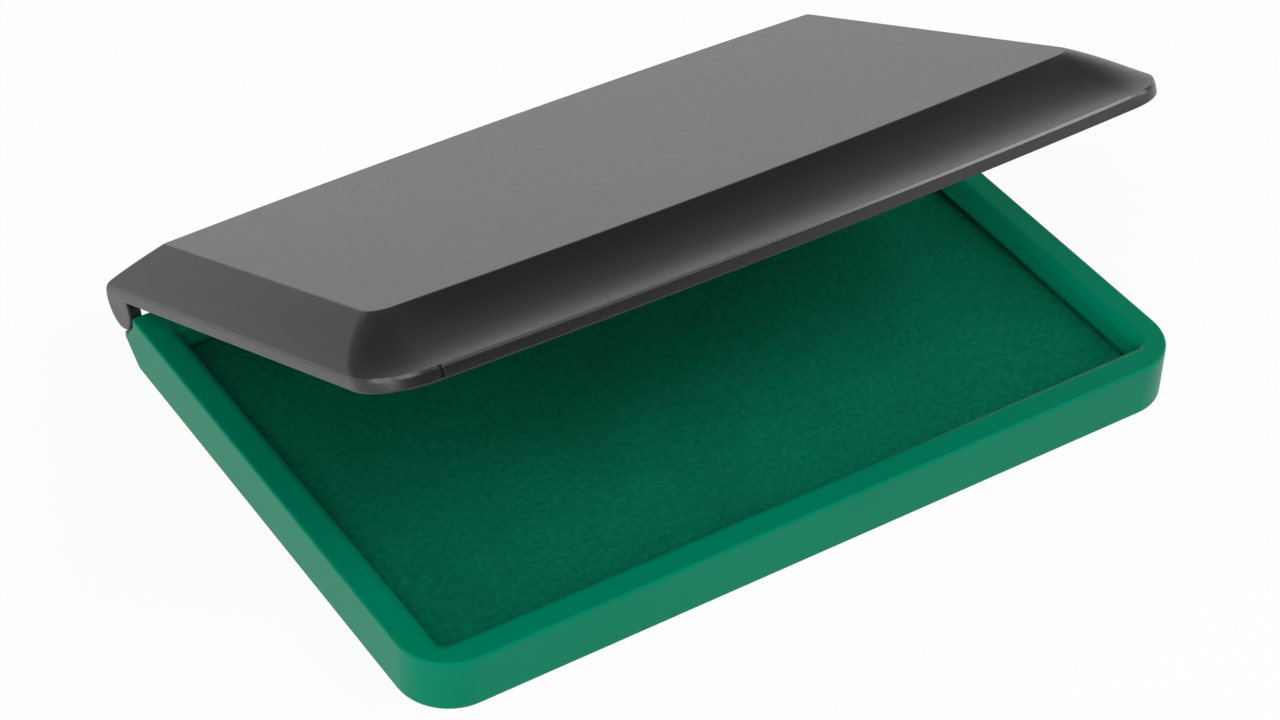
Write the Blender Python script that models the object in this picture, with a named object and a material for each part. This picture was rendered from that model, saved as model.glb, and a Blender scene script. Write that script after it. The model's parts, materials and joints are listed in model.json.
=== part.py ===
"""Stamp ink pad with a hinged lid.

A moulded tray holds an inked felt under a stretched cloth. A moulded lid swings on two stub pins
behind the tray, from shut to lying upside down on the table behind it. The pad is modelled with the
lid part open.

Frame: metres, +X to the right, +Y to the hinge, +Z up. The origin is on the underside of the tray,
below the centre of the pad.
"""

import math

import bmesh
import bpy
from mathutils import Matrix

MM = 0.001

# Pad and well. The mouth of the well is the pad's nominal size.
PAD_LENGTH = 110.0 * MM
PAD_WIDTH = 70.0 * MM
PAD_DROP = 3.6 * MM
PAD_CROWN = 0.6 * MM
PAD_EDGE_ROUND = 1.1 * MM
FELT_THICKNESS = 2.1 * MM
CLOTH_THICKNESS = 0.5 * MM
WELL_CORNER_RADIUS = 1.0 * MM
SEAT_GAP = 0.3 * MM

# Tray
RIM_WIDTH = 4.65 * MM
BACK_RIM_WIDTH = 4.95 * MM
RIM_ROUND = 1.5 * MM
FLOOR_THICKNESS = 1.2 * MM
TRAY_WALL = 1.4 * MM
TRAY_CORNER_RADIUS = 7.5 * MM
TRAY_BACK_RADIUS = 0.7 * MM
TRAY_EDGE_ROUND = 0.4 * MM
FOOT_WIDTH = 0.8 * MM
LEDGE_DEPTH = 2.7 * MM
LEDGE_EDGE = 0.6 * MM
LEDGE_CHAMFER = 4.1 * MM

# Hinge
HINGE_DROP = 0.45 * MM
HINGE_CLEARANCE = 0.6 * MM
TROUGH_CLEARANCE = 0.3 * MM
PIN_RADIUS = 1.5 * MM
PIN_CLEARANCE = 0.1 * MM
PIN_END_GAP = 0.3 * MM
KNUCKLE_WALL = 0.2 * MM
KNUCKLE_WIDTH = 8.0 * MM
KNUCKLE_INSET = 7.0 * MM
TONGUE_WIDTH = 7.0 * MM
TONGUE_THICKNESS = 1.7 * MM
TONGUE_STEP = 0.05 * MM
NOTCH_CLEARANCE = 0.5 * MM
EAR_THICKNESS = 1.8 * MM
EAR_SKIN = 0.7 * MM
EAR_FLAT = 0.2 * MM
EAR_STEP = 0.05 * MM

# Lid
LID_WALL = 1.4 * MM
LID_GAP = 0.1 * MM
TABLE_CLEARANCE = 0.2 * MM
LID_CORNER_RADIUS = 8.0 * MM
LID_TOP_CORNER_RADIUS = 3.0 * MM
LID_CORNER_FALL = 0.4
BAND_HEIGHT = 1.9 * MM
SIDE_RUN = 6.6 * MM
SIDE_SWELL = 0.5 * MM
COVE_RUN = 12.2 * MM
COVE_SAG = 0.9 * MM
COVE_END_TURN = 2.0
COVE_END_FADE = 10
LIP_SETBACK = 0.6 * MM
FRONT_BOW = 2.5 * MM
BACK_EDGE = 5.8 * MM
BACK_BOW = 2.3 * MM
SEAL_RIB = 1.0 * MM
SEAL_DIP = 1.5 * MM
SEAL_CLEARANCE = 0.6 * MM
LID_OPEN = math.radians(26.7)

# Worked out from the sizes above
TRAY_HEIGHT = FLOOR_THICKNESS + FELT_THICKNESS + CLOTH_THICKNESS + 2 * SEAT_GAP + PAD_DROP
HALF_LENGTH = PAD_LENGTH / 2 + RIM_WIDTH
HALF_WIDTH = PAD_WIDTH / 2 + RIM_WIDTH
TRAY_BACK = PAD_WIDTH / 2 + BACK_RIM_WIDTH
KNUCKLE_RADIUS = PIN_RADIUS + KNUCKLE_WALL
KNUCKLE_X = HALF_LENGTH - KNUCKLE_INSET - KNUCKLE_WIDTH / 2
EAR_RADIUS = KNUCKLE_RADIUS + HINGE_CLEARANCE + LID_WALL
TROUGH_RADIUS = EAR_RADIUS + TROUGH_CLEARANCE
HINGE_Y = TRAY_BACK + math.sqrt(TROUGH_RADIUS ** 2 - HINGE_DROP ** 2)
HINGE_Z = TRAY_HEIGHT - HINGE_DROP
TONGUE_RISE = HINGE_DROP - TONGUE_STEP
TONGUE_FALL = TONGUE_THICKNESS - TONGUE_RISE
SOCKET_END = HALF_LENGTH - EAR_SKIN
LEDGE_BACK = TRAY_BACK + LEDGE_DEPTH
TROUGH_FOOT = HINGE_Z - math.sqrt(TROUGH_RADIUS ** 2 - (HINGE_Y - LEDGE_BACK) ** 2)
CHAMFER_TOP = TROUGH_FOOT - LEDGE_EDGE
LID_BOTTOM = HINGE_DROP + LID_GAP
LID_TOP = HINGE_Z - TABLE_CLEARANCE
BAND_TOP = LID_BOTTOM + BAND_HEIGHT
LIP_FRONT = HINGE_Y + HALF_WIDTH - LIP_SETBACK

# Smoothness of the round stretches
CORNER_STEPS = 8
ROUND_STEPS = 3
TROUGH_STEPS = 7
COVE_STEPS = 7
BOW_STEPS = 18
LEAN_STEPS = 8
LEAN_REACH = 0.02 * MM
EAR_STEPS = 24
PIN_SIDES = 32
CROWN_STEPS = 5
SPARE = 2.0 * MM


def clear_scene():
    for old in list(bpy.data.objects):
        bpy.data.objects.remove(old, do_unlink=True)


def new_collection(name):
    collection = bpy.data.collections.new(name)
    bpy.context.scene.collection.children.link(collection)
    return collection


def plastic(name, colour, roughness):
    material = bpy.data.materials.new(name)
    material.use_nodes = True
    shader = material.node_tree.nodes["Principled BSDF"]
    shader.inputs["Base Color"].default_value = (*colour, 1.0)
    shader.inputs["Roughness"].default_value = roughness
    shader.inputs["Metallic"].default_value = 0.0
    return material


def arc(centre, radius, start, end, steps):
    """Points along an arc from angle start to angle end, both ends included."""
    points = []
    for i in range(steps + 1):
        angle = start + (end - start) * i / steps
        points.append((centre[0] + radius * math.cos(angle), centre[1] + radius * math.sin(angle)))
    return points


def drawn_in(radius, inset):
    """Corner radius of an outline that is drawn in by inset."""
    return max(radius - inset, 0.3 * radius)


def rounded_outline(half_x, front, back, front_radius, back_radius):
    """Anticlockwise rectangle outline with round corners, from its front left corner on."""
    turn = math.pi / 2
    corners = (
        (-half_x + front_radius, front + front_radius, front_radius, 2),
        (half_x - front_radius, front + front_radius, front_radius, 3),
        (half_x - back_radius, back - back_radius, back_radius, 4),
        (-half_x + back_radius, back - back_radius, back_radius, 5),
    )
    points = []
    for x, y, radius, quarter in corners:
        points += arc((x, y), radius, quarter * turn, (quarter + 1) * turn, CORNER_STEPS)
    return points


def well_outline(inset):
    """Outline of the well's mouth, drawn in by inset."""
    half_x = PAD_LENGTH / 2 - inset
    half_y = PAD_WIDTH / 2 - inset
    radius = drawn_in(WELL_CORNER_RADIUS, inset)
    return rounded_outline(half_x, -half_y, half_y, radius, radius)


def add_object(name, mesh, collection, material=None):
    obj = bpy.data.objects.new(name, mesh)
    collection.objects.link(obj)
    if material:
        mesh.materials.append(material)
    return obj


def loft(name, rings, collection, material=None):
    """Closed skin over a stack of rings that have equal point counts, bottom ring first."""
    mesh = bpy.data.meshes.new(name)
    bm = bmesh.new()
    layers = [[bm.verts.new(point) for point in ring] for ring in rings]
    for lower, upper in zip(layers, layers[1:]):
        for i in range(len(lower)):
            j = (i + 1) % len(lower)
            bm.faces.new((lower[i], lower[j], upper[j], upper[i]))
    bm.faces.new(list(reversed(layers[0])))
    bm.faces.new(layers[-1])
    bmesh.ops.triangulate(bm, faces=bm.faces)
    bmesh.ops.recalc_face_normals(bm, faces=bm.faces)
    bm.to_mesh(mesh)
    bm.free()
    return add_object(name, mesh, collection, material)


def prism(name, outlines, thickness, placing, collection):
    """Flat outline, with the further outlines as holes in it, drawn out to a thickness."""
    curve = bpy.data.curves.new(name, "CURVE")
    curve.dimensions = "2D"
    curve.fill_mode = "BOTH"
    curve.extrude = thickness / 2
    for outline in outlines:
        spline = curve.splines.new("POLY")
        spline.points.add(len(outline) - 1)
        for point, (x, y) in zip(spline.points, outline):
            point.co = (x, y, 0.0, 1.0)
        spline.use_cyclic_u = True
    drawn = bpy.data.objects.new(name + "_outline", curve)
    bpy.context.scene.collection.objects.link(drawn)
    graph = bpy.context.evaluated_depsgraph_get()
    mesh = bpy.data.meshes.new_from_object(drawn.evaluated_get(graph))
    bpy.data.objects.remove(drawn, do_unlink=True)
    mesh.transform(placing)
    bm = bmesh.new()
    bm.from_mesh(mesh)
    bmesh.ops.remove_doubles(bm, verts=bm.verts, dist=0.001 * MM)
    bmesh.ops.recalc_face_normals(bm, faces=bm.faces)
    bm.to_mesh(mesh)
    bm.free()
    mesh.name = name
    return add_object(name, mesh, collection)


def upright(low, high):
    """Placing of a plan outline that is drawn out from height low to height high."""
    return Matrix.Translation((0.0, 0.0, (low + high) / 2))


def sideways(x, y, z):
    """Placing of a side view, whose first axis runs along +Y and second along +Z, at a point."""
    turn = Matrix(((0.0, 0.0, 1.0, 0.0), (1.0, 0.0, 0.0, 0.0), (0.0, 1.0, 0.0, 0.0), (0.0, 0.0, 0.0, 1.0)))
    return Matrix.Translation((x, y, z)) @ turn


def rod(name, radius, start_x, end_x, y, z, collection):
    bpy.ops.mesh.primitive_cylinder_add(
        vertices=PIN_SIDES,
        radius=radius,
        depth=abs(end_x - start_x),
        location=((start_x + end_x) / 2, y, z),
        rotation=(0.0, math.pi / 2, 0.0),
    )
    return adopt(bpy.context.object, name, collection)


def box(name, low, high, collection):
    centre = [(a + b) / 2 for a, b in zip(low, high)]
    bpy.ops.mesh.primitive_cube_add(size=1.0, location=centre)
    obj = bpy.context.object
    obj.data.transform(Matrix.Diagonal([b - a for a, b in zip(low, high)] + [1.0]))
    return adopt(obj, name, collection)


def adopt(obj, name, collection):
    obj.name = name
    obj.data.name = name
    for owner in list(obj.users_collection):
        owner.objects.unlink(obj)
    collection.objects.link(obj)
    return obj


def combine(obj, other, operation):
    modifier = obj.modifiers.new(other.name, "BOOLEAN")
    modifier.operation = operation
    modifier.object = other
    modifier.solver = "EXACT"


def hide_tools(collection):
    for obj in collection.objects:
        obj.hide_render = True
        obj.display_type = "WIRE"


def smooth(obj, angle):
    obj.data.shade_smooth()
    obj.data.set_sharp_from_angle(angle=math.radians(angle))


def quarter_round(radius):
    """Steps round a quarter circle as pairs of setback and height, from the side to the top."""
    steps = []
    for i in range(ROUND_STEPS + 1):
        angle = math.pi / 2 * i / ROUND_STEPS
        steps.append((radius * (1 - math.cos(angle)), radius * (math.sin(angle) - 1)))
    return steps


def tray_back(z):
    """How far back the tray reaches at height z: chamfer, edge of the ledge, then the trough."""
    if z < CHAMFER_TOP:
        return LEDGE_BACK - LEDGE_CHAMFER * (1 - z / CHAMFER_TOP)
    if z < TROUGH_FOOT:
        return LEDGE_BACK
    return HINGE_Y - math.sqrt(TROUGH_RADIUS ** 2 - (HINGE_Z - z) ** 2)


def tray_ring(z, inset):
    outline = rounded_outline(
        HALF_LENGTH - inset,
        -HALF_WIDTH + inset,
        tray_back(z) - inset,
        drawn_in(TRAY_CORNER_RADIUS, inset),
        drawn_in(TRAY_BACK_RADIUS, inset),
    )
    return [(x, y, z) for x, y in outline]


def tray_rings():
    """Sections of the tray from its round bottom edge, up the back profile, to its round top edge."""
    edge = quarter_round(TRAY_EDGE_ROUND)
    rings = [tray_ring(-height, inset) for inset, height in reversed(edge)]
    rings.append(tray_ring(CHAMFER_TOP, 0.0))
    shoulder = TRAY_HEIGHT - TRAY_EDGE_ROUND
    for i in range(TROUGH_STEPS):
        rings.append(tray_ring(TROUGH_FOOT + (shoulder - TROUGH_FOOT) * i / TROUGH_STEPS, 0.0))
    rings += [tray_ring(TRAY_HEIGHT + height, inset) for inset, height in edge]
    return rings


def make_well(tools):
    """Core of the well, flared at its mouth so that the rim rolls over into it."""
    rings = [[(x, y, FLOOR_THICKNESS) for x, y in well_outline(0.0)]]
    for flare, height in quarter_round(RIM_ROUND):
        rings.append([(x, y, TRAY_HEIGHT + height) for x, y in well_outline(-flare)])
    rings.append([(x, y, TRAY_HEIGHT + SPARE) for x, y in well_outline(-RIM_ROUND)])
    return loft("well_core", rings, tools)


def make_rim_channel(tools):
    """Core that hollows the rim from below and leaves walls of even thickness on a flat foot."""
    outer = rounded_outline(
        HALF_LENGTH - TRAY_WALL,
        -HALF_WIDTH + TRAY_WALL,
        tray_back(0.0) - TRAY_EDGE_ROUND - FOOT_WIDTH,
        drawn_in(TRAY_CORNER_RADIUS, TRAY_WALL),
        TRAY_BACK_RADIUS,
    )
    inner = well_outline(-TRAY_WALL)
    low = -SPARE
    high = TRAY_HEIGHT - TRAY_WALL
    return prism("rim_channel_core", [outer, inner], high - low, upright(low, high), tools)


def make_tongue(side, tools):
    """Tongue that reaches back from the rim to the hinge axis."""
    middle = side * KNUCKLE_X
    low = (middle - TONGUE_WIDTH / 2, TRAY_BACK - TRAY_WALL / 2, HINGE_Z - TONGUE_FALL)
    high = (middle + TONGUE_WIDTH / 2, HINGE_Y - PIN_RADIUS / 4, HINGE_Z + TONGUE_RISE)
    return box("tongue", low, high, tools)


def make_knuckle(side, tools):
    """Round knuckle at the end of the tongue."""
    ends = (side * KNUCKLE_X - KNUCKLE_WIDTH / 2, side * KNUCKLE_X + KNUCKLE_WIDTH / 2)
    return rod("knuckle", KNUCKLE_RADIUS, *ends, HINGE_Y, HINGE_Z, tools)


def make_stub_pin(side, tools):
    """Stub pin from the knuckle out into the lid's ear."""
    ends = (side * KNUCKLE_X, side * (SOCKET_END - PIN_END_GAP))
    return rod("stub_pin", PIN_RADIUS, *ends, HINGE_Y, HINGE_Z, tools)


def make_tray_hinge(side, tools):
    """Tongue, knuckle and stub pin as one form."""
    hinge = make_tongue(side, tools)
    combine(hinge, make_knuckle(side, tools), "UNION")
    combine(hinge, make_stub_pin(side, tools), "UNION")
    return hinge


def make_tray(parts, tools):
    green = plastic("green_plastic", (0.0, 0.155, 0.083), 0.42)
    tray = loft("base_tray", tray_rings(), parts, green)
    combine(tray, make_well(tools), "DIFFERENCE")
    combine(tray, make_rim_channel(tools), "DIFFERENCE")
    for side in (-1, 1):
        combine(tray, make_tray_hinge(side, tools), "UNION")
    smooth(tray, 30)
    return tray


def pad_rise(x, y):
    """Rise of the pad's top over its corners: half the crown at the middle of a side."""
    return PAD_CROWN * (1 - (2 * x / PAD_LENGTH) ** 2 / 2 - (2 * y / PAD_WIDTH) ** 2 / 2)


def pad_rings(inset, low, edge):
    """Sections of a pad layer: upright side, round edge, then the crowned top."""
    radius = min(PAD_EDGE_ROUND, 0.8 * FELT_THICKNESS)
    rings = [[(x, y, low) for x, y in well_outline(inset)]]
    for setback, height in quarter_round(radius):
        outline = well_outline(inset + setback)
        rings.append([(x, y, edge + pad_rise(x, y) + height) for x, y in outline])
    for i in range(1, CROWN_STEPS + 1):
        share = 1 - (i / (CROWN_STEPS + 0.3))
        outline = [(x * share, y * share) for x, y in well_outline(inset + radius)]
        rings.append([(x, y, edge + pad_rise(x, y)) for x, y in outline])
    return rings


def make_felt(parts):
    felt = plastic("inked_felt", (0.004, 0.055, 0.035), 0.95)
    inset = 2 * SEAT_GAP + CLOTH_THICKNESS
    low = FLOOR_THICKNESS + SEAT_GAP
    core = loft("felt_core", pad_rings(inset, low, low + FELT_THICKNESS), parts, felt)
    smooth(core, 30)
    return core


def make_cloth(parts, tools):
    """Cloth over the felt, tucked down all round it to the floor of the well."""
    cloth = plastic("inked_cloth", (0.0, 0.088, 0.05), 0.9)
    low = FLOOR_THICKNESS + SEAT_GAP
    inner_edge = low + FELT_THICKNESS + SEAT_GAP
    cover = loft("ink_cloth", pad_rings(SEAT_GAP, low, inner_edge + CLOTH_THICKNESS), parts, cloth)
    hollow = pad_rings(SEAT_GAP + CLOTH_THICKNESS, low - SPARE, inner_edge)
    combine(cover, loft("cloth_hollow", hollow, tools), "DIFFERENCE")
    smooth(cover, 30)
    return cover


def cove_curve():
    """Hollow front of the lid as points of height and run, from the lip up to the flat top."""
    rise = LID_TOP - BAND_TOP
    chord = math.hypot(COVE_RUN, rise)
    radius = chord ** 2 / (8 * COVE_SAG) + COVE_SAG / 2
    half_angle = math.asin(chord / (2 * radius))
    slope = math.atan2(rise, COVE_RUN)
    points = []
    for i in range(COVE_STEPS + 1):
        angle = half_angle * (2 * i / COVE_STEPS - 1)
        along = chord / 2 + radius * math.sin(angle)
        below = radius * math.cos(angle) - radius * math.cos(half_angle)
        run = along * math.cos(slope) + below * math.sin(slope)
        height = along * math.sin(slope) - below * math.cos(slope)
        points.append((BAND_TOP + height, run))
    return points


def cove_run(v):
    """Run of the front cove at height v over the hinge axis, zero on the band."""
    points = cove_curve()
    for (low, start), (high, end) in zip(points, points[1:]):
        if v <= low:
            return 0.0
        if v <= high:
            return start + (end - start) * (v - low) / (high - low)
    return COVE_RUN


def slope_share(v):
    """Share of the way from the top of the band to the flat top at height v."""
    return min(max((v - BAND_TOP) / (LID_TOP - BAND_TOP), 0.0), 1.0)


def lid_back(v, wall):
    """Back of the lid at height v: upright, round about the hinge axis, then a slope tangent to it."""
    reach = math.hypot(BACK_EDGE, LID_TOP)
    normal = math.atan2(LID_TOP, BACK_EDGE) + math.acos(EAR_RADIUS / reach)
    radius = EAR_RADIUS - wall
    if v <= radius * math.sin(normal):
        return -math.sqrt(radius ** 2 - max(v, 0.0) ** 2)
    return (radius - v * math.sin(normal)) / math.cos(normal)


def lid_ring(v, wall):
    """Level section of the lid at height v over the hinge axis, drawn in by a wall thickness."""
    over = v + wall
    share = slope_share(over)
    side_set = SIDE_RUN * share - 4 * SIDE_SWELL * share * (1 - share)
    half_x = HALF_LENGTH - max(wall, side_set + wall / 2)
    hollow = cove_run(over) - COVE_RUN * share
    back = lid_back(v, wall)
    corner_share = share ** LID_CORNER_FALL
    radius = LID_CORNER_RADIUS + (LID_TOP_CORNER_RADIUS - LID_CORNER_RADIUS) * corner_share
    radius = drawn_in(radius, wall)

    def front_edge(x):
        along = abs(x) / half_x
        run = COVE_RUN * share + hollow * (1 - COVE_END_TURN * along ** COVE_END_FADE)
        return LIP_FRONT - max(wall, run + wall / 2) + FRONT_BOW * (1 - along ** 2)

    def back_edge(x):
        return back - BACK_BOW * share ** 2 * (1 - (x / half_x) ** 2)

    lean = 0.0
    for step in range(LEAN_STEPS):
        straight = half_x - radius * (1 - math.sin(lean))
        lean = math.atan2(front_edge(straight - LEAN_REACH) - front_edge(straight), LEAN_REACH)
    points = []
    for i in range(BOW_STEPS + 1):
        x = straight * math.sin(math.pi * (i / BOW_STEPS - 0.5))
        points.append((x, -front_edge(x)))
    middle = (half_x - radius, radius * math.cos(lean) - front_edge(straight))
    corner = arc(middle, radius, lean - math.pi / 2, 0.0, CORNER_STEPS)[1:]
    points += corner
    for i in range(BOW_STEPS + 1):
        x = half_x * (1 - 2 * i / BOW_STEPS)
        points.append((x, -back_edge(x)))
    points += [(-x, y) for x, y in reversed(corner)]
    return [(x, y, v) for x, y in points]


def lid_stack(wall, low):
    """Sections of the lid from height low up to the top, all drawn in by a wall thickness."""
    heights = [low, LID_BOTTOM, (LID_BOTTOM + BAND_TOP) / 2]
    heights += [height for height, run in cove_curve()]
    stack = [v - wall for v in heights if v - wall > low]
    return [lid_ring(v, wall) for v in [low] + stack]


def make_ear(side, tools):
    """Hinge ear: a plate a hair inside the lid's side, round about the hinge axis, flat in front."""
    top = (LID_BOTTOM + BAND_TOP) / 2
    flat = EAR_RADIUS - EAR_FLAT
    start = math.asin(top / EAR_RADIUS)
    end = math.acos(flat / EAR_RADIUS) - math.pi
    profile = arc((0.0, 0.0), EAR_RADIUS, start, end, EAR_STEPS)
    profile.append((-flat, top))
    middle = side * (HALF_LENGTH - (EAR_THICKNESS + EAR_STEP) / 2)
    return prism("ear", [profile], EAR_THICKNESS - EAR_STEP, sideways(middle, 0.0, 0.0), tools)


def make_pin_socket(side, tools):
    """Blind socket in the ear for the stub pin."""
    ends = (side * (HALF_LENGTH - EAR_THICKNESS - SPARE), side * SOCKET_END)
    return rod("pin_socket", PIN_RADIUS + PIN_CLEARANCE, *ends, 0.0, 0.0, tools)


def make_notch(side, tools):
    """Notch in the lid's back that the tongue passes into when the lid lies right over."""
    reach = TONGUE_WIDTH / 2 + NOTCH_CLEARANCE
    low = (side * KNUCKLE_X - reach, 0.0, -EAR_RADIUS)
    high = (side * KNUCKLE_X + reach, EAR_RADIUS + SPARE, TONGUE_FALL + NOTCH_CLEARANCE)
    return box("tongue_notch", low, high, tools)


def make_seal_rib(tools):
    """Rib inside the lid that dips into the mouth of the well when the lid is shut."""
    outlines = []
    for inset in (SEAL_CLEARANCE, SEAL_CLEARANCE + SEAL_RIB):
        outlines.append([(x, y - HINGE_Y) for x, y in well_outline(inset)])
    low = HINGE_DROP - SEAL_DIP
    rib = prism("seal_rib", outlines, LID_TOP - low, upright(low, LID_TOP), tools)
    combine(rib, loft("rib_limit", lid_stack(LID_WALL / 2, low - SPARE), tools), "INTERSECT")
    return rib


def make_lid(parts, tools):
    """Lid, modelled shut about its hinge axis."""
    black = plastic("black_plastic", (0.017, 0.017, 0.018), 0.48)
    lid = loft("lid", lid_stack(0.0, LID_BOTTOM), parts, black)
    combine(lid, loft("lid_core", lid_stack(LID_WALL, LID_BOTTOM - SPARE), tools), "DIFFERENCE")
    combine(lid, make_seal_rib(tools), "UNION")
    for side in (-1, 1):
        combine(lid, make_ear(side, tools), "UNION")
        combine(lid, make_pin_socket(side, tools), "DIFFERENCE")
        combine(lid, make_notch(side, tools), "DIFFERENCE")
    smooth(lid, 18)
    return lid


def hang_lid(lid, tools):
    """Put the lid and the tools that shape it on the hinge axis, and swing it open."""
    hinge = bpy.data.objects.new("hinge_axis", None)
    hinge.empty_display_size = EAR_RADIUS
    tools.objects.link(hinge)
    for piece in [lid] + [obj for obj in tools.objects if obj is not hinge]:
        piece.parent = hinge
    hinge.location = (0.0, HINGE_Y, HINGE_Z)
    hinge.rotation_euler = (-LID_OPEN, 0.0, 0.0)


clear_scene()
pad_parts = new_collection("stamp_ink_pad")
tray_tools = new_collection("tray_tools")
lid_tools = new_collection("lid_tools")

make_tray(pad_parts, tray_tools)
make_felt(pad_parts)
make_cloth(pad_parts, tray_tools)
hang_lid(make_lid(pad_parts, lid_tools), lid_tools)
hide_tools(tray_tools)
hide_tools(lid_tools)
bpy.context.view_layer.update()
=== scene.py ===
import json
import math

import bmesh
import bpy
from mathutils import Matrix, Vector


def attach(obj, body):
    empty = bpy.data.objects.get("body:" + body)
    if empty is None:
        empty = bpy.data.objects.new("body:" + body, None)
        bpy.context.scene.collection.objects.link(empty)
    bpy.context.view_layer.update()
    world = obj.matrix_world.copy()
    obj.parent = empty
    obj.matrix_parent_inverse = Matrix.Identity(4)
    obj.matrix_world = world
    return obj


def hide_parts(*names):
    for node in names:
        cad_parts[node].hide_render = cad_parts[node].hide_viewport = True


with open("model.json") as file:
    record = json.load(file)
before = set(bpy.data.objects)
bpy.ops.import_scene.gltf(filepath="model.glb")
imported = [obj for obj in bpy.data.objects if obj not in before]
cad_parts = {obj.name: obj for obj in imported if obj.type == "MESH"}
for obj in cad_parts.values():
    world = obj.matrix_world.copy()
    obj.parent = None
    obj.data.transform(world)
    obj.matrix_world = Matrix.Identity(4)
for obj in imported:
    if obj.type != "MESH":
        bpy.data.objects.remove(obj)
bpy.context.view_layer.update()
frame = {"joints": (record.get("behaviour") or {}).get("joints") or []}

# ---------------------------------------------------------------------------------------------------
# Base tray: the green moulded bottom half, with a well for the pad, a broad flat rim that is cored
# from below, and a round trough along the back that the lid's hinge end turns in. Two tongues at the
# back carry round knuckles, and from each a stub pin stands out into an ear of the lid.
# ---------------------------------------------------------------------------------------------------
MM = 0.001
hinge = frame["joints"][0]
hinge_y = hinge["pos_m"][1]
hinge_z = hinge["pos_m"][2]

pad_length = 110.0 * MM
pad_width = 70.0 * MM
well_corner = 1.0 * MM
rim_width = 4.65 * MM
back_rim_width = 4.95 * MM
rim_roll = 1.5 * MM
rim_top = 8.0 * MM
floor_top = 1.2 * MM
tray_wall = 1.4 * MM
tray_corner = 7.5 * MM
tray_back_corner = 0.7 * MM
tray_edge = 0.4 * MM
half_length = pad_length / 2 + rim_width
half_width = pad_width / 2 + rim_width
tray_rear = pad_width / 2 + back_rim_width
trough_radius = 4.0 * MM
trough_steps = 16
ledge_depth = 2.7 * MM
ledge_edge = 0.6 * MM
ledge_chamfer = 4.1 * MM
ledge_back = tray_rear + ledge_depth
foot_width = 0.8 * MM
corner_steps = 14
trough_foot = hinge_z - math.sqrt(trough_radius ** 2 - (hinge_y - ledge_back) ** 2)
chamfer_top = trough_foot - ledge_edge
tongue_middle = 48.65 * MM
tongue_half = 3.5 * MM
tongue_below = 1.3 * MM
tongue_above = 0.4 * MM
tongue_short = 0.4 * MM
knuckle_half = 4.0 * MM
knuckle_radius = 1.7 * MM
knuckle_edge = 0.2 * MM
pin_radius = 1.5 * MM
pin_reach = 58.65 * MM
pin_edge = 0.3 * MM


def arc(centre, radius, start, end, steps):
    """Points along an arc, both ends included."""
    angles = [start + (end - start) * i / steps for i in range(steps + 1)]
    return [(centre[0] + radius * math.cos(a), centre[1] + radius * math.sin(a)) for a in angles]


def drawn_in(radius, inset):
    """Corner radius inside an inset, never less than three tenths of it."""
    return max(radius - inset, 0.3 * radius)


def rounded_outline(half_x, front, back, front_radius, back_radius, parts=(1, 1)):
    """Anticlockwise round-cornered rectangle; parts says how its long and short sides are split."""
    quarter = math.pi / 2
    corners = (
        (-half_x + front_radius, front + front_radius, front_radius, 2, parts[0]),
        (half_x - front_radius, front + front_radius, front_radius, 3, parts[1]),
        (half_x - back_radius, back - back_radius, back_radius, 4, parts[0]),
        (-half_x + back_radius, back - back_radius, back_radius, 5, parts[1]),
    )
    bends = []
    for x, y, radius, turn, count in corners:
        bend = arc((x, y), radius, turn * quarter, (turn + 1) * quarter, corner_steps)
        bends.append((bend, count))
    points = []
    for i, (bend, count) in enumerate(bends):
        points += bend
        start = Vector(bend[-1])
        end = Vector(bends[(i + 1) % 4][0][0])
        points += [tuple(start.lerp(end, k / count)) for k in range(1, count)]
    return points


def well_outline(inset, parts=(1, 1)):
    """Outline of the well's mouth, drawn in by inset."""
    radius = drawn_in(well_corner, inset)
    half_y = pad_width / 2 - inset
    return rounded_outline(pad_length / 2 - inset, -half_y, half_y, radius, radius, parts)


def at_height(outline, z):
    """Outline as points in space, all at one height."""
    return [(x, y, z) for x, y in outline]


def quarter_round(radius, steps):
    """Setback and height below the top along a quarter circle, from the side to the top."""
    angles = [math.pi / 2 * i / steps for i in range(steps + 1)]
    return [(radius * (1 - math.cos(a)), radius * (1 - math.sin(a))) for a in angles]


def bridge(bm, lower, upper):
    """Faces between two rings of equal point count."""
    for i in range(len(lower)):
        j = (i + 1) % len(lower)
        bm.faces.new((lower[i], lower[j], upper[j], upper[i]))


def open_skin(bm, rings):
    """Faces between neighbouring rings; gives the rings' vertices."""
    layers = [[bm.verts.new(point) for point in ring] for ring in rings]
    for lower, upper in zip(layers, layers[1:]):
        bridge(bm, lower, upper)
    return layers


def new_piece(name, bm):
    """Object of a closed skin, with its faces turned outwards."""
    bmesh.ops.recalc_face_normals(bm, faces=bm.faces)
    mesh = bpy.data.meshes.new(name)
    bm.to_mesh(mesh)
    bm.free()
    piece = bpy.data.objects.new(name, mesh)
    bpy.context.scene.collection.objects.link(piece)
    return piece


def skin(name, rings):
    """Closed skin over rings of equal point count, with the first and last ring filled."""
    bm = bmesh.new()
    layers = open_skin(bm, rings)
    bm.faces.new(list(reversed(layers[0])))
    bm.faces.new(layers[-1])
    return new_piece(name, bm)


def rod(name, radius, start_x, end_x, y, z, edge):
    """Round bar along X with eased ends."""
    ends = sorted((start_x, end_x))
    steps = [(ends[0] + h, s) for s, h in reversed(quarter_round(edge, steps=3))]
    steps += [(ends[1] - h, s) for s, h in quarter_round(edge, steps=3)]
    rings = []
    for x, setback in steps:
        circle = arc((y, z), radius - setback, 0.0, 2 * math.pi, steps=48)[:-1]
        rings.append([(x, a, b) for a, b in circle])
    return skin(name, rings)


def block(name, low, high):
    """Square-edged block between its lowest and highest corner."""
    corners = [(low[0], low[1]), (high[0], low[1]), (high[0], high[1]), (low[0], high[1])]
    return skin(name, [at_height(corners, low[2]), at_height(corners, high[2])])


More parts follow.
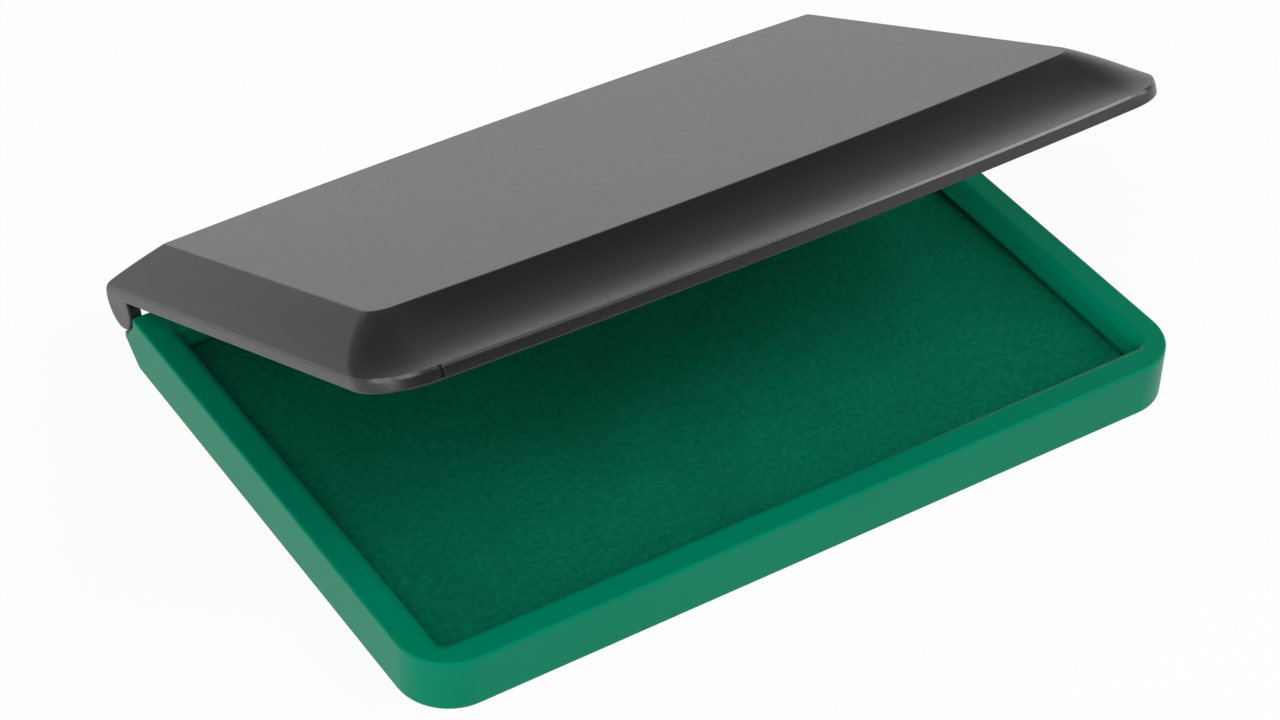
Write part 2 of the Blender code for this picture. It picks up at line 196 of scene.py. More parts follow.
def shape_with(piece, tool, operation):
    """Join a tool to a piece, or cut it out, and use the tool up."""
    step = piece.modifiers.new(tool.name, "BOOLEAN")
    step.operation = operation
    step.object = tool
    step.solver = "EXACT"
    graph = bpy.context.evaluated_depsgraph_get()
    shaped = bpy.data.meshes.new_from_object(piece.evaluated_get(graph))
    piece.modifiers.clear()
    piece.data = shaped
    bpy.data.objects.remove(tool, do_unlink=True)


def finish_moulding(piece, sharp_degrees):
    """Smooth the rounds, keep the edges, and let the large flats rule the shading."""
    piece.data.shade_smooth()
    piece.data.set_sharp_from_angle(angle=math.radians(sharp_degrees))
    weighting = piece.modifiers.new("even_flats", "WEIGHTED_NORMAL")
    weighting.keep_sharp = True
    weighting.weight = 80


def tray_back(z):
    """How far back the tray reaches at a height: chamfer, edge of the ledge, then the trough."""
    if z < chamfer_top:
        return ledge_back - ledge_chamfer * (1 - z / chamfer_top)
    if z < trough_foot:
        return ledge_back
    return hinge_y - math.sqrt(trough_radius ** 2 - (hinge_z - z) ** 2)


def tray_ring(z, inset):
    """Outside of the tray at a height, drawn in by inset."""
    radius = drawn_in(tray_corner, inset)
    back_radius = drawn_in(tray_back_corner, inset)
    back = tray_back(z) - inset
    outline = rounded_outline(half_length - inset, -half_width + inset, back, radius, back_radius)
    return at_height(outline, z)


def tray_rings():
    """From the floor of the well up over the rim, down the outside and through the cored underside."""
    rings = [at_height(well_outline(0.0), floor_top)]
    for flare, drop in quarter_round(rim_roll, steps=10):
        rings.append(at_height(well_outline(-flare), rim_top - drop))
    for inset, drop in reversed(quarter_round(tray_edge, steps=6)):
        rings.append(tray_ring(rim_top - drop, inset))
    shoulder = rim_top - tray_edge
    for i in range(1, trough_steps + 1):
        rings.append(tray_ring(shoulder + (trough_foot - shoulder) * i / trough_steps, 0.0))
    rings.append(tray_ring(chamfer_top, 0.0))
    for inset, drop in quarter_round(tray_edge, steps=6):
        rings.append(tray_ring(drop, inset))
    channel = rounded_outline(
        half_length - tray_wall,
        -half_width + tray_wall,
        tray_back(0.0) - tray_edge - foot_width,
        tray_corner - tray_wall,
        tray_back_corner,
    )
    roof = rim_top - tray_wall
    rings += [at_height(channel, 0.0), at_height(channel, roof)]
    rings += [at_height(well_outline(-tray_wall), roof), at_height(well_outline(-tray_wall), 0.0)]
    return rings


def hinge_tongue(side):
    """Tongue, knuckle and stub pin of one side."""
    middle = side * tongue_middle
    low = (middle - tongue_half, tray_rear - tray_wall / 2, hinge_z - tongue_below)
    high = (middle + tongue_half, hinge_y - tongue_short, hinge_z + tongue_above)
    tongue = block("tongue", low, high)
    ends = (middle - knuckle_half, middle + knuckle_half)
    knuckle = rod("knuckle", knuckle_radius, *ends, hinge_y, hinge_z, knuckle_edge)
    shape_with(tongue, knuckle, "UNION")
    pin_ends = (middle, side * pin_reach)
    shape_with(tongue, rod("stub_pin", pin_radius, *pin_ends, hinge_y, hinge_z, pin_edge), "UNION")
    return tongue


def add_node(tree, kind, **settings):
    """New shader node with its settings made."""
    node = tree.nodes.new(kind)
    for name, value in settings.items():
        setattr(node, name, value)
    return node


def noise(tree, place, size, detail, rough=0.5):
    """Noise whose features are about the given size across, in metres."""
    node = add_node(tree, "ShaderNodeTexNoise")
    node.inputs["Scale"].default_value = 1.0 / size
    node.inputs["Detail"].default_value = detail
    node.inputs["Roughness"].default_value = rough
    tree.links.new(place, node.inputs["Vector"])
    return node.outputs["Fac"]


def spread(tree, value, low, high, start=0.35, end=0.65):
    """Value stretched from one range to another."""
    node = add_node(tree, "ShaderNodeMapRange")
    node.inputs["From Min"].default_value = start
    node.inputs["From Max"].default_value = end
    node.inputs["To Min"].default_value = low
    node.inputs["To Max"].default_value = high
    tree.links.new(value, node.inputs["Value"])
    return node.outputs["Result"]


def two_tone(tree, share, first, second):
    """Colour between two tones."""
    node = add_node(tree, "ShaderNodeMix", data_type="RGBA")
    colours = [socket for socket in node.inputs if socket.type == "RGBA"]
    factor = [socket for socket in node.inputs if socket.name == "Factor"][0]
    for socket, tone in zip(colours, (first, second)):
        if isinstance(tone, tuple):
            socket.default_value = (*tone, 1.0)
        else:
            tree.links.new(tone, socket)
    tree.links.new(share, factor)
    return [socket for socket in node.outputs if socket.type == "RGBA"][0]


def relief(tree, height, depth, strength, under=None):
    """Bump of a given depth in metres, with a strength that is one number or varies."""
    node = add_node(tree, "ShaderNodeBump")
    if isinstance(strength, float):
        node.inputs["Strength"].default_value = strength
    else:
        tree.links.new(strength, node.inputs["Strength"])
    node.inputs["Distance"].default_value = depth
    tree.links.new(height, node.inputs["Height"])
    if under:
        tree.links.new(under, node.inputs["Normal"])
    return node.outputs["Normal"]


flow_size = 28 * MM
mottle_size = 1.2 * MM
mottle = 0.012
grain_depth = 0.03 * MM
grain_strength = 0.25
edge_satin = 0.18


def moulded_plastic(name, colour, deep, worn, satin, ior, tint, grain):
    """Satin moulded plastic: eroded mould grain, faint flow shades, edges rubbed a little paler.

    Faces that are marked as a handled edge are rubbed smooth, with no grain left.
    """
    material = bpy.data.materials.new(name)
    material.use_nodes = True
    tree = material.node_tree
    shader = tree.nodes["Principled BSDF"]
    place = add_node(tree, "ShaderNodeTexCoord").outputs["Object"]
    shade = spread(tree, noise(tree, place, flow_size, 3.0), 0.0, 1.0)
    body = two_tone(tree, shade, colour, deep)
    sharpness = add_node(tree, "ShaderNodeNewGeometry").outputs["Pointiness"]
    rubbed = spread(tree, sharpness, 0.0, 0.45, 0.52, 0.60)
    tree.links.new(two_tone(tree, rubbed, body, worn), shader.inputs["Base Color"])
    rough = spread(tree, noise(tree, place, mottle_size, 3.0), satin - mottle, satin + mottle)
    handled = add_node(tree, "ShaderNodeAttribute", attribute_name="handled_edge").outputs["Fac"]
    polish = add_node(tree, "ShaderNodeMath", operation="MULTIPLY_ADD")
    polish.inputs[1].default_value = edge_satin - satin
    tree.links.new(handled, polish.inputs[0])
    tree.links.new(rough, polish.inputs[2])
    tree.links.new(polish.outputs[0], shader.inputs["Roughness"])
    fine = noise(tree, place, grain, 2.0, 0.6)
    strength = spread(tree, handled, grain_strength, 0.0, 0.0, 1.0)
    tree.links.new(relief(tree, fine, grain_depth, strength), shader.inputs["Normal"])
    shader.inputs["IOR"].default_value = ior
    shader.inputs["Specular Tint"].default_value = (*tint, 1.0)
    return material


tray = skin("tray_moulding", tray_rings())
for side in (-1, 1):
    shape_with(tray, hinge_tongue(side), "UNION")
tray.data.materials.clear()
tray.data.materials.append(moulded_plastic(
    "green_satin_plastic",
    colour=(0.0, 0.165, 0.088),
    deep=(0.0, 0.152, 0.080),
    worn=(0.03, 0.24, 0.15),
    satin=0.40,
    ior=1.24,
    tint=(0.0, 1.0, 0.75),
    grain=0.25 * MM,
))
finish_moulding(tray, sharp_degrees=30)
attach(tray, "tray")
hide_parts("base_tray")

# ---------------------------------------------------------------------------------------------------
# Felt block: the pressed wool felt that fills the well under the cloth and holds the ink. It is cut to
# the well, soaked nearly black, and lies loose on the floor of the tray.
# ---------------------------------------------------------------------------------------------------
seat_gap = 0.3 * MM
felt_thickness = 2.1 * MM
cloth_thickness = 0.5 * MM
pad_crown = 0.6 * MM
pad_edge = 1.1 * MM
pad_floor = floor_top + seat_gap
pad_parts = (56, 36)
pad_edge_steps = 8
pad_top_rings = 28
felt_ripple_height = 0.03 * MM
felt_ripple_runs = (2.9 * MM, 2.3 * MM)
fibre_size = 0.35 * MM
fibre_depth = 0.15 * MM
patch_size = 6 * MM


def pad_rise(x, y):
    """Rise of the pad's top over its corners: half the crown at the middle of a side."""
    return pad_crown * (1 - (2 * x / pad_length) ** 2 / 2 - (2 * y / pad_width) ** 2 / 2)


def pad_rings(inset, low, edge, ripple):
    """Upright side, round edge, then the crowned top of one layer of the pad."""
    rings = [at_height(well_outline(inset, pad_parts), low)]
    for setback, drop in quarter_round(pad_edge, pad_edge_steps):
        outline = well_outline(inset + setback, pad_parts)
        rings.append([(x, y, edge + pad_rise(x, y) - drop) for x, y in outline])
    outline = well_outline(inset + pad_edge, pad_parts)
    for i in range(1, pad_top_rings + 1):
        share = 1 - i / (pad_top_rings + 0.4)
        ring = [(x * share, y * share) for x, y in outline]
        rings.append([(x, y, edge + pad_rise(x, y) + ripple(x, y)) for x, y in ring])
    return rings


def felt_ripple(x, y):
    """Low lumps of the pressed wool."""
    return felt_ripple_height * math.sin(x / felt_ripple_runs[0]) * math.sin(y / felt_ripple_runs[1])


felt_inset = 2 * seat_gap + cloth_thickness
felt_edge = pad_floor + felt_thickness
felt = skin("felt_block", pad_rings(felt_inset, pad_floor, felt_edge, felt_ripple))
felt_wool = bpy.data.materials.new("ink_soaked_felt")
felt_wool.use_nodes = True
tree = felt_wool.node_tree
shader = tree.nodes["Principled BSDF"]
place = add_node(tree, "ShaderNodeTexCoord").outputs["Object"]
fibres = noise(tree, place, fibre_size, 6.0, 0.7)
patches = spread(tree, noise(tree, place, patch_size, 3.0), 0.0, 1.0)
soaked = two_tone(tree, patches, (0.003, 0.050, 0.031), (0.006, 0.066, 0.042))
tree.links.new(soaked, shader.inputs["Base Color"])
tree.links.new(spread(tree, fibres, 0.88, 1.0), shader.inputs["Roughness"])
tree.links.new(relief(tree, fibres, fibre_depth, 0.8), shader.inputs["Normal"])
shader.inputs["Specular IOR Level"].default_value = 0.2
felt.data.materials.append(felt_wool)
felt.data.shade_smooth()
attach(felt, "tray")
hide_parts("felt_core")

# ---------------------------------------------------------------------------------------------------
# Ink cloth: a close cotton weave stretched over the felt and tucked down round it into the well. The
# ink has soaked it evenly, so that it shows as one dull green with a faint mottle of threads.
# ---------------------------------------------------------------------------------------------------
wall_gap = 0.12 * MM
inner_edge = felt_edge + seat_gap
swell_lift = 0.025
swell_slow = 0.015
swell_slower = 0.010
slow_runs = (7.5 * MM, 6.1 * MM)
slower_runs = (15.0 * MM, 11.0 * MM)
warp_pitch = 0.42 * MM
weft_pitch = 0.46 * MM
thread_depth = 0.06 * MM
slub_size = 0.8 * MM
slub_depth = 0.14 * MM
soak_size = 14 * MM


def cloth_swell(x, y):
    """Slow swells of the stretched cloth, and nothing at its edge."""
    free = (1 - (2 * x / pad_length) ** 4) * (1 - (2 * y / pad_width) ** 4)
    slow = math.sin(x / slow_runs[0] + 0.8) * math.sin(y / slow_runs[1] + 0.3)
    slower = math.sin(x / slower_runs[0] - y / slower_runs[1])
    return max(free, 0.0) * MM * (swell_lift + swell_slow * slow + swell_slower * slower)


def cloth_inside(x, y):
    """Underside of the cloth, which never rises into its thickness."""
    return min(cloth_swell(x, y), 0.0)


outside = pad_rings(wall_gap, pad_floor, inner_edge + cloth_thickness, cloth_swell)
inside = pad_rings(seat_gap + cloth_thickness, pad_floor, inner_edge, cloth_inside)
bm = bmesh.new()
hems = []
for rings in (outside, inside):
    layers = open_skin(bm, rings)
    bm.faces.new(layers[-1])
    hems.append(layers[0])
bridge(bm, *hems)
cloth = new_piece("ink_cloth_cover", bm)

weave = bpy.data.materials.new("inked_cotton_weave")
weave.use_nodes = True
tree = weave.node_tree
shader = tree.nodes["Principled BSDF"]
place = add_node(tree, "ShaderNodeTexCoord").outputs["Object"]


def threads(direction, pitch):
    """Rows of threads across one direction of the cloth; a wave's scale of 0.314 is one row a metre."""
    node = add_node(tree, "ShaderNodeTexWave", wave_type="BANDS", bands_direction=direction)
    node.inputs["Scale"].default_value = 0.314 / pitch
    node.inputs["Distortion"].default_value = 2.0
    node.inputs["Detail"].default_value = 1.0
    node.inputs["Detail Scale"].default_value = 0.4
    tree.links.new(place, node.inputs["Vector"])
    return node.outputs["Fac"]


crossing = add_node(tree, "ShaderNodeMath", operation="MULTIPLY")
tree.links.new(threads("X", warp_pitch), crossing.inputs[0])
tree.links.new(threads("Y", weft_pitch), crossing.inputs[1])
slub = spread(tree, noise(tree, place, slub_size, 5.0, 0.65), 0.0, 1.0)
soak = spread(tree, noise(tree, place, soak_size, 3.0), 0.0, 1.0)
ink = two_tone(tree, soak, (0.0, 0.124, 0.065), (0.0, 0.142, 0.077))
thread_shade = spread(tree, slub, 0.0, 0.70, 0.0, 1.0)
threaded = two_tone(tree, thread_shade, ink, (0.0, 0.078, 0.041))
tree.links.new(threaded, shader.inputs["Base Color"])
tree.links.new(spread(tree, slub, 0.82, 0.96, 0.0, 1.0), shader.inputs["Roughness"])
fluff = relief(tree, slub, slub_depth, 0.7)
tree.links.new(relief(tree, crossing.outputs[0], thread_depth, 0.5, fluff), shader.inputs["Normal"])
shader.inputs["Specular IOR Level"].default_value = 0.05
cloth.data.materials.append(weave)
cloth.data.shade_smooth()
cloth.data.set_sharp_from_angle(angle=math.radians(50))
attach(cloth, "tray")
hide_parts("ink_cloth")

# ---------------------------------------------------------------------------------------------------
# Lid: one black moulding with a flat top, sloped ends, a hollow cove along the front that runs out
# into a thin bowed lip, and a round back end with an ear at each side. The ears snap over the stub
# pins, and a thin rib inside it dips into the well to keep the pad moist when the lid is shut.
# ---------------------------------------------------------------------------------------------------
lid_open = math.radians(-hinge["range_deg"][0])
lid_wall = 1.4 * MM
lid_bottom = 0.55 * MM
band_top = 2.45 * MM
table_clearance = 0.2 * MM
lid_top = hinge_z - table_clearance
lip_setback = 0.6 * MM
lip_front = hinge_y + half_width - lip_setback
lid_corner = 8.0 * MM
lid_top_corner = 3.0 * MM
lid_corner_fall = 0.65
lid_back_corner = 0.4 * MM
side_run = 6.6 * MM
side_swell = 0.5 * MM
cove_length = 12.2 * MM
cove_sag = 0.9 * MM
cove_end_fade = 10
front_bow = 2.5 * MM
back_edge = 5.8 * MM
back_bow = 2.3 * MM
ear_radius = 3.7 * MM
ear_thickness = 1.8 * MM
ear_inset = 0.02 * MM
ear_flat = 0.2 * MM
ear_top = 1.5 * MM
ear_edge = 0.3 * MM
lid_foot_round = 0.40 * MM
lid_top_round = 0.8 * MM
lid_round_steps = 5
cove_steps = 14
bow_steps = 56
lid_corner_steps = 16


def cove_curve():
    """Hollow front as points of height and run, from the lip up to the flat top."""
    rise = lid_top - band_top
    chord = math.hypot(cove_length, rise)
    radius = chord ** 2 / (8 * cove_sag) + cove_sag / 2
    half_angle = math.asin(chord / (2 * radius))
    slope = math.atan2(rise, cove_length)
    points = []
    for i in range(cove_steps + 1):
        angle = half_angle * (2 * i / cove_steps - 1)
        along = chord / 2 + radius * math.sin(angle)
        below = radius * math.cos(angle) - radius * math.cos(half_angle)
        run = along * math.cos(slope) + below * math.sin(slope)
        points.append((band_top + along * math.sin(slope) - below * math.cos(slope), run))
    return points


cove = cove_curve()


def cove_run(v):
    """How far the front has drawn back at a height over the hinge axis."""
    for (low, start), (high, end) in zip(cove, cove[1:]):
        if v <= low:
            return 0.0
        if v <= high:
            return start + (end - start) * (v - low) / (high - low)
    return cove_length


def slope_share(v):
    """How far up the slopes of the lid a height lies, from the band to the top."""
    return min(max((v - band_top) / (lid_top - band_top), 0.0), 1.0)


def lid_back(v, wall):
    """Back of the lid: upright, round about the hinge axis, then a slope that leaves it smoothly."""
    reach = math.hypot(back_edge, lid_top)
    normal = math.atan2(lid_top, back_edge) + math.acos(ear_radius / reach)
    radius = ear_radius - wall
    if v <= radius * math.sin(normal):
        return -math.sqrt(radius ** 2 - max(v, 0.0) ** 2)
    return (radius - v * math.sin(normal)) / math.cos(normal)


def lid_ring(v, wall, inset=0.0):
    """Section of the lid at a height over the hinge axis, inside a wall or drawn in on the level."""
    over = v + wall
    share = slope_share(over)
    side_set = side_run * share - side_swell * 4 * share * (1 - share)
    half_x = half_length - max(wall, side_set + wall / 2) - inset
    radius = lid_corner + (lid_top_corner - lid_corner) * share ** lid_corner_fall
    radius = drawn_in(radius, wall + inset)
    hollow = cove_run(over) - cove_length * share
    back = -lid_back(v, wall) - inset

    def front_edge(x):
        along = abs(x) / half_x
        run = cove_length * share + hollow * (1 - along ** cove_end_fade)
        return inset + max(wall, run + wall / 2) - lip_front - front_bow * (1 - along ** 2)

    def back_line(x):
        return back + back_bow * share ** 2 * (1 - (x / half_x) ** 2)

    lean = 0.0
    small = 0.02 * MM
    for step in range(8):
        straight = half_x - radius * (1 - math.sin(lean))
        lean = math.atan2(front_edge(straight) - front_edge(straight - small), small)
    points = []
    for i in range(bow_steps + 1):
        x = straight * math.sin(math.pi * (i / bow_steps - 0.5))
        points.append((x, front_edge(x)))
    middle = (half_x - radius, radius * math.cos(lean) + front_edge(straight))
    corner = arc(middle, radius, lean - math.pi / 2, 0.0, lid_corner_steps)[1:]
    inner = half_x - lid_back_corner
    middle = (inner, back_line(inner) - lid_back_corner)
    corner += arc(middle, lid_back_corner, 0.0, math.pi / 2, steps=5)
    points += corner
    for i in range(1, bow_steps):
        x = inner * (1 - 2 * i / bow_steps)
        points.append((x, back_line(x)))
    points += [(-x, y) for x, y in reversed(corner)]
    return [Vector((x, y, v)) for x, y in points]


def eased(before, corner, after, radius, steps):
    """Points of a small round that takes the place of a corner."""
    arrive = (before - corner).normalized()
    leave = (after - corner).normalized()
    turn = math.pi - arrive.angle(leave)
    room = 0.45 * min((before - corner).length, (after - corner).length)
    setback = min(radius * math.tan(turn / 2), room)
    start = corner + arrive * setback
    end = corner + leave * setback
    points = []
    for i in range(steps + 1):
        t = i / steps
        weight = math.cos(turn / 2)
        mass = (1 - t) ** 2 + 2 * t * (1 - t) * weight + t ** 2
        bend = start * (1 - t) ** 2 + corner * (2 * t * (1 - t) * weight) + end * t ** 2
        points.append(bend / mass)
    return points


lip_curve = ((0.60, 0.0), (0.50, 0.008), (0.40, 0.030), (0.30, 0.070))
lip_flat_slope = 2.147
lip_flat_longest = 0.25
lip_turn_start = 12.0
lip_turn_span = 20.0


def dulled_lip(below, corner, slope):
    """Lip's upper edge, a narrow flat that curves into the face, and the start of the slope over it.

    Where the slope turns steep, round the corners, the flat grows longer and the slope starts straight.
    The curve's falls and runs, and the flat's length, are in millimetres.
    """
    down = (below - corner).normalized()
    rise = [(point - corner).normalized() for point in slope]
    steepness = math.degrees(math.asin(rise[0].z))
    turned = min(max((steepness - lip_turn_start) / lip_turn_span, 0.0), 1.0)
    along = rise[0].lerp(rise[-1], turned).normalized()
    lean = math.asin(along.z)
    tilt = lip_flat_slope * math.cos(lean) - math.sin(lean)
    flat_fall, flat_run = lip_curve[-1]
    flat = min(flat_fall / tilt, lip_flat_longest) if tilt > 0.0 else lip_flat_longest
    steps = (*lip_curve, (0.0, flat_run + flat))
    points = [corner + down * (fall * MM) + along * (run * MM) for fall, run in steps]
    top = points[-1]
    for k, point in enumerate(slope[:-1]):
        points.append(point.lerp(top.lerp(slope[-1], (k + 1) / len(slope)), turned))
    return points


def lid_shell():
    """Outside of the lid with its lower edge, lip and top edges eased."""
    heights = [lid_bottom, (lid_bottom + band_top) / 2, band_top]
    heights += [height for height, run in cove[1:]]
    under = 0.7 * MM
    over = 1.5 * MM
    rings = [lid_ring(lid_bottom, 0.0, under)]
    rings += [lid_ring(v, 0.0) for v in heights]
    rings.append(lid_ring(lid_top, 0.0, over))
    rounds = {1: lid_foot_round, len(rings) - 2: lid_top_round}
    lip = 1 + heights.index(band_top)
    settled = lip + 3
    columns = []
    for i in range(len(rings[0])):
        column = []
        for k, ring in enumerate(rings):
            if k in rounds:
                column += eased(rings[k - 1][i], ring[i], rings[k + 1][i], rounds[k], lid_round_steps)
            elif k == lip:
                slope = [rings[n][i] for n in range(lip + 1, settled + 1)]
                column += dulled_lip(rings[k - 1][i], ring[i], slope)
            elif not lip < k < settled:
                column.append(ring[i])
        columns.append(column)
    return skin("lid_moulding", [list(ring) for ring in zip(*columns)])


def lid_stack(wall, low):
    """Sections of the lid drawn in by a wall, from a height up to the inside of the top."""
    heights = [lid_bottom, (lid_bottom + band_top) / 2] + [height for height, run in cove]
    stack = [v - wall for v in heights if v - wall > low]
    return [lid_ring(v, wall) for v in [low] + stack]


def hinge_ear(side):
    """Round plate that hangs from the lid's side about the pin, flat in front, its rim eased."""
    flat = ear_radius - ear_flat
    start = math.asin(ear_top / ear_radius)
    end = math.acos(flat / ear_radius) - math.pi
    outer = side * (half_length - ear_inset)
    inner = side * (half_length - ear_thickness)
    rings = []
    for setback, drop in [(0.0, abs(inner - outer))] + quarter_round(ear_edge, steps=4):
        profile = arc((0.0, 0.0), ear_radius - setback, start, end, steps=40)
        profile.append((-flat + setback, ear_top))
        rings.append([(outer - side * drop, y, z) for y, z in profile])
    return skin("ear", rings)


def rib_outline(inset):
    """Outline of the seal rib inside the well, in the lid's own place over the hinge axis."""
    half_x = pad_length / 2 - inset
    half_y = pad_width / 2 - inset
    corner = rib_corner - inset
    return [(x, y - hinge_y) for x, y in rounded_outline(half_x, -half_y, half_y, corner, corner)]


cut_past = 1 * MM
hinge_drop = 0.45 * MM
rib_dip = 1.5 * MM
rib_corner = 3.5 * MM
rib_outer = 0.6 * MM
rib_inner = 1.6 * MM
rib_low = hinge_drop - rib_dip
lid = lid_shell()
shape_with(lid, skin("lid_core", lid_stack(lid_wall, lid_bottom - 2 * cut_past)), "DIFFERENCE")
rib = skin("seal_rib", [at_height(rib_outline(rib_outer), z) for z in (rib_low, lid_top)])
rib_hollow = [at_height(rib_outline(rib_inner), z) for z in (lid_top + cut_past, rib_low - cut_past)]
shape_with(rib, skin("rib_core", rib_hollow), "DIFFERENCE")
shape_with(rib, skin("rib_limit", lid_stack(lid_wall / 2, rib_low - 2 * cut_past)), "INTERSECT")
shape_with(lid, rib, "UNION")

socket_radius = 1.6 * MM
socket_edge = 0.1 * MM
socket_start = 3.8 * MM
socket_skin = 0.7 * MM
notch_half = 4.0 * MM
notch_depth = 5.7 * MM
notch_top = 1.8 * MM
for side in (-1, 1):
    shape_with(lid, hinge_ear(side), "UNION")
    socket_ends = (side * (half_length - socket_start), side * (half_length - socket_skin))
    socket = rod("pin_socket", socket_radius, *socket_ends, 0.0, 0.0, socket_edge)
    shape_with(lid, socket, "DIFFERENCE")
    middle = side * tongue_middle
    notch_low = (middle - notch_half, 0.0, -ear_radius)
    notch_high = (middle + notch_half, notch_depth, notch_top)
    shape_with(lid, block("tongue_notch", notch_low, notch_high), "DIFFERENCE")

nick_x = -51.5 * MM
nick_y = -lip_front - front_bow * (1 - (nick_x / half_length) ** 2)
nick_half = 0.2 * MM
nick_depth = 0.22 * MM
nick_past = 0.5 * MM
nick_foot = 0.9 * MM
nick_low = (nick_x - nick_half, nick_y - nick_past, nick_foot)
nick_high = (nick_x + nick_half, nick_y + nick_depth, band_top + nick_past)
shape_with(lid, block("lip_nick", nick_low, nick_high), "DIFFERENCE")

wear_depth = 0.41 * MM
corner_wear = 0.35
least_upward = 0.25
lip_wear = lid.data.attributes.new("handled_edge", "FLOAT", "FACE")
for face in lid.data.polygons:
    on_lip = band_top - wear_depth < face.center.z < band_top
    wear = corner_wear if abs(face.center.x) > half_length - lid_corner else 1.0
    lip_wear.data[face.index].value = wear if on_lip and face.normal.z > least_upward else 0.0
lid.data.transform(Matrix.Translation((0.0, hinge_y, hinge_z)) @ Matrix.Rotation(-lid_open, 4, "X"))
lid.data.materials.clear()
lid.data.materials.append(moulded_plastic(
    "black_satin_plastic",
    colour=(0.0102, 0.0102, 0.0107),
    deep=(0.0086, 0.0086, 0.0090),
    worn=(0.035, 0.035, 0.036),
    satin=0.33,
    ior=1.47,
    tint=(1.0, 1.0, 1.0),
    grain=0.22 * MM,
))
finish_moulding(lid, sharp_degrees=28)
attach(lid, "lid")
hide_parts("lid")

# ---------------------------------------------------------------------------------------------------
# Studio: a pale floor that the eye and the shiny parts see as white, with the pad's shadow on it. The
# surround is white to the eye and darkens overhead in reflections, and soft lamps and cards stand round.
# ---------------------------------------------------------------------------------------------------
table = bpy.data.objects.new("studio_floor", bpy.data.meshes.new("studio_floor"))
bpy.context.scene.collection.objects.link(table)
reach = 3.0
table_corners = at_height([(-reach, -reach), (reach, -reach), (reach, reach), (-reach, reach)], 0.0)
table.data.from_pydata(table_corners, [], [(0, 1, 2, 3)])


def looked_at(tree):
    """Share of a ray that comes straight from the eye or by a reflection or through glass."""
    path = add_node(tree, "ShaderNodeLightPath")
    seen = path.outputs["Is Camera Ray"]
    for name in ("Is Glossy Ray", "Is Transmission Ray"):
        larger = add_node(tree, "ShaderNodeMath", operation="MAXIMUM")
        tree.links.new(seen, larger.inputs[0])
        tree.links.new(path.outputs[name], larger.inputs[1])
        seen = larger.outputs[0]
    return seen


paper_white = 0.93
paper = bpy.data.materials.new("pale_paper")
paper.use_nodes = True
tree = paper.node_tree
tree.nodes.remove(tree.nodes["Principled BSDF"])
out = tree.nodes["Material Output"]
dull = add_node(tree, "ShaderNodeBsdfDiffuse")
dull.inputs["Color"].default_value = (0.80, 0.80, 0.80, 1.0)
white = add_node(tree, "ShaderNodeEmission")
lifted = add_node(tree, "ShaderNodeMixShader")
lifted.inputs["Fac"].default_value = paper_white
tree.links.new(dull.outputs[0], lifted.inputs[1])
tree.links.new(white.outputs[0], lifted.inputs[2])
chosen = add_node(tree, "ShaderNodeMixShader")
tree.links.new(looked_at(tree), chosen.inputs["Fac"])
tree.links.new(dull.outputs[0], chosen.inputs[1])
tree.links.new(lifted.outputs[0], chosen.inputs[2])
tree.links.new(chosen.outputs[0], out.inputs["Surface"])
table.data.materials.append(paper)

surround_light = 0.285
surround_brightest = (0.60, 0.80, -0.625)
surround_levels = ((0.02, 0.04), (0.30, 0.18), (0.50, 0.38), (0.75, 0.40), (0.82, 0.75), (0.92, 1.0))
world = bpy.data.worlds.new("studio_surround")
bpy.context.scene.world = world
world.use_nodes = True
tree = world.node_tree
soft = tree.nodes["Background"]
soft.inputs["Color"].default_value = (1.0, 1.0, 1.0, 1.0)
soft.inputs["Strength"].default_value = surround_light
bright = add_node(tree, "ShaderNodeBackground")
towards = add_node(tree, "ShaderNodeVectorMath", operation="DOT_PRODUCT")
towards.inputs[1].default_value = surround_brightest
tree.links.new(add_node(tree, "ShaderNodeTexCoord").outputs["Generated"], towards.inputs[0])
falloff = add_node(tree, "ShaderNodeValToRGB")
tree.links.new(towards.outputs["Value"], falloff.inputs["Fac"])
for share, level in surround_levels:
    stop = falloff.color_ramp.elements.new(share)
    stop.color = (level, level, level, 1.0)
seen = add_node(tree, "ShaderNodeLightPath").outputs["Is Camera Ray"]
tree.links.new(two_tone(tree, seen, falloff.outputs["Color"], (1.0, 1.0, 1.0)), bright.inputs["Color"])
either = add_node(tree, "ShaderNodeMixShader")
tree.links.new(looked_at(tree), either.inputs["Fac"])
tree.links.new(soft.outputs[0], either.inputs[1])
tree.links.new(bright.outputs[0], either.inputs[2])
tree.links.new(either.outputs[0], tree.nodes["World Output"].inputs["Surface"])

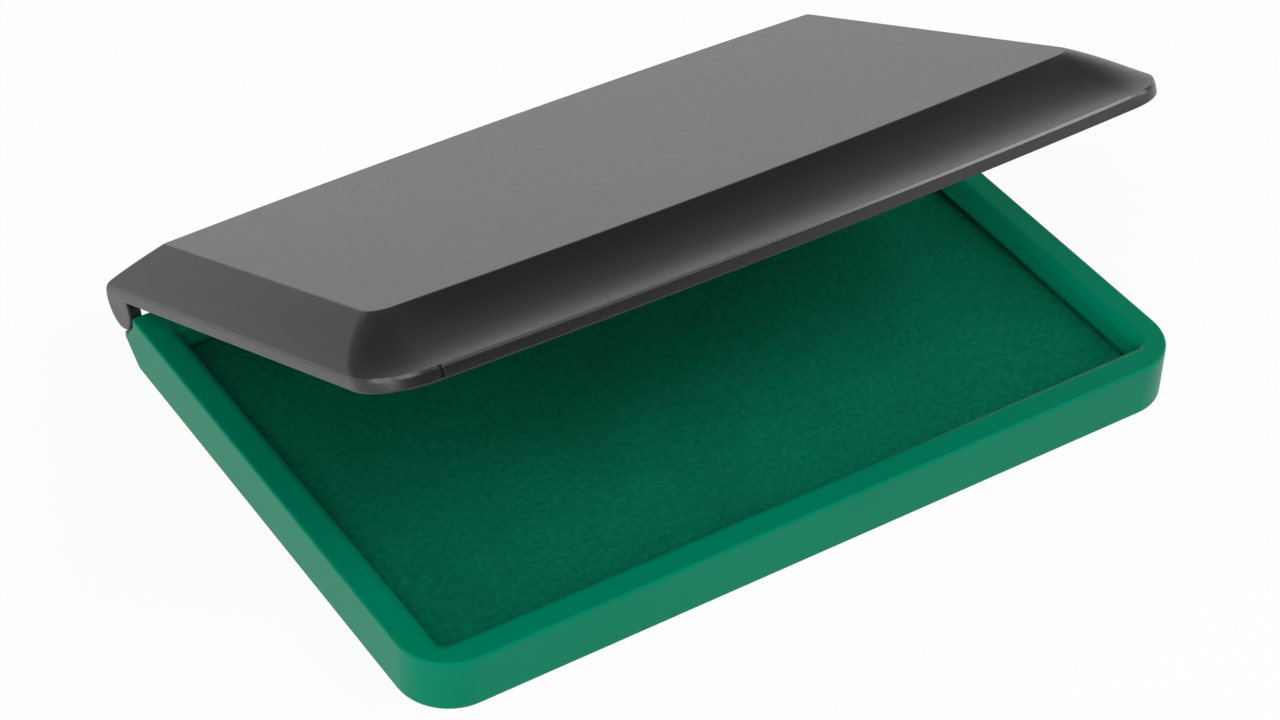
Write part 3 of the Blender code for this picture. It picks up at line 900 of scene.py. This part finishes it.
lamp_aim = Vector((0.0, 0.0, 0.01))


def soft_lamp(name, place, width, height, watts, mirrored=True):
    """Soft rectangular lamp that faces the pad."""
    lamp = bpy.data.lights.new(name, "AREA")
    lamp.shape = "RECTANGLE"
    lamp.size = width
    lamp.size_y = height
    lamp.energy = watts
    holder = bpy.data.objects.new(name, lamp)
    holder.location = place
    holder.visible_glossy = mirrored
    holder.rotation_euler = (lamp_aim - Vector(place)).to_track_quat("-Z", "Y").to_euler()
    bpy.context.scene.collection.objects.link(holder)


soft_lamp("left_softbox", (-0.54, -0.46, 0.76), 0.6, 0.6, 5.0)
soft_lamp("right_softbox", (0.70, -0.40, 0.82), 0.38, 0.38, 3.8)
soft_lamp("overhead_card", (0.26, -0.46, 0.90), 0.45, 0.45, 1.1)
soft_lamp("front_card", (0.80, -0.70, 0.28), 0.8, 0.5, 2.1)
soft_lamp("right_card", (1.0, -0.15, 0.22), 0.9, 0.3, 1.3, mirrored=False)
soft_lamp("left_card", (-1.0, -0.25, 0.18), 0.9, 0.3, 5.5)
soft_lamp("left_high_card", (-0.92, -0.17, 0.52), 0.28, 0.28, 1.3)
soft_lamp("right_high_card", (0.99, -0.32, 0.43), 0.2, 0.5, 1.8)
soft_lamp("back_card", (0.50, 1.06, 0.17), 0.75, 0.26, 0.52)

# ---------------------------------------------------------------------------------------------------
# Camera: a long lens, standing front left and above, tipped a little to the right.
# ---------------------------------------------------------------------------------------------------
camera = bpy.data.objects.new("camera", bpy.data.cameras.new("camera"))
camera.data.sensor_width = 36.0
camera.data.lens = 95.48
camera.data.clip_start = 0.01
standpoint = (-0.20016, -0.28885, 0.30410)
right = Vector((0.83924, -0.54294, 0.02800))
down = Vector((-0.33548, -0.55766, -0.75929))
forward = Vector((0.42794, 0.62783, -0.65015))
turn = Matrix((right, -down, -forward)).transposed()
camera.matrix_world = Matrix.Translation(standpoint) @ turn.to_4x4()
bpy.context.scene.collection.objects.link(camera)
bpy.context.scene.camera = camera
bpy.context.scene.view_settings.view_transform = "Standard"
